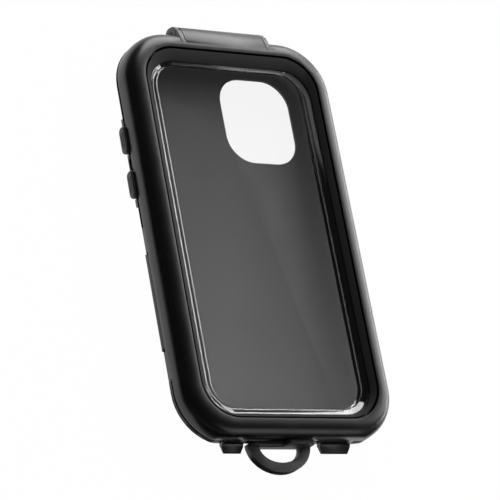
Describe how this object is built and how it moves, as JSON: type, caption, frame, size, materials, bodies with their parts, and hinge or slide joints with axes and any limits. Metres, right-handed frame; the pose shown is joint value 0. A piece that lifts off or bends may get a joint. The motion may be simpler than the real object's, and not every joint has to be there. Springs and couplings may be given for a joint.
{
  "type": "hard phone case",
  "caption": "Hinged hard phone case: black shell, clear touch film in a rounded front frame, snap latches, button pads and a port cover with a pull loop.",
  "frame": {"origin": "middle of the flat back, under the middle of the phone, case lying on its back", "axes": "+Z out of the front face, +Y up the case towards the hinge, +X to the right seen from the front"},
  "size_m": [0.0964, 0.1852, 0.0178],
  "materials": {
    "black_plastic": "satin moulded black",
    "dark_plastic": "satin moulded black",
    "dark_rubber": "matte soft black",
    "clear_film": "glossy clear formed film",
    "clear_pane": "glossy clear pane",
    "steel": "plain turned steel"
  },
  "bodies": {
    "rear": {"rear_shell": "black_plastic", "hinge_pin": "steel", "main_seal": "dark_rubber", "camera_window": "clear_pane", "camera_window_seal": "dark_rubber", "volume_up_seal": "dark_rubber", "volume_down_seal": "dark_rubber", "side_seal": "dark_rubber"},
    "cover": {"front_frame": "black_plastic", "film_retainer": "dark_plastic", "touch_film": "clear_film"},
    "volume_up": {"volume_up_button": "dark_rubber"},
    "volume_down": {"volume_down_button": "dark_rubber"},
    "side_key": {"side_button": "dark_rubber"},
    "port_flap": {"port_cover": "dark_rubber"}
  },
  "joints": [
    {"name": "cover_hinge", "type": "hinge", "parent": "rear", "child": "cover", "pos_m": [0, 0.0863, 0.0098], "axis": [-1, 0, 0], "range_deg": [0, 120]},
    {"name": "volume_up_press", "type": "slide", "parent": "rear", "child": "volume_up", "axis": [1, 0, 0], "range_m": [0, 0.0006], "stiffness_N_per_m": 2000},
    {"name": "volume_down_press", "type": "slide", "parent": "rear", "child": "volume_down", "axis": [1, 0, 0], "range_m": [0, 0.0006], "stiffness_N_per_m": 2000},
    {"name": "side_press", "type": "slide", "parent": "rear", "child": "side_key", "axis": [-1, 0, 0], "range_m": [0, 0.0006], "stiffness_N_per_m": 2000},
    {"name": "port_flap_hinge", "type": "hinge", "parent": "rear", "child": "port_flap", "pos_m": [0, -0.0844, 0.004], "axis": [1, 0, 0], "range_deg": [0, 90]}
  ]
}
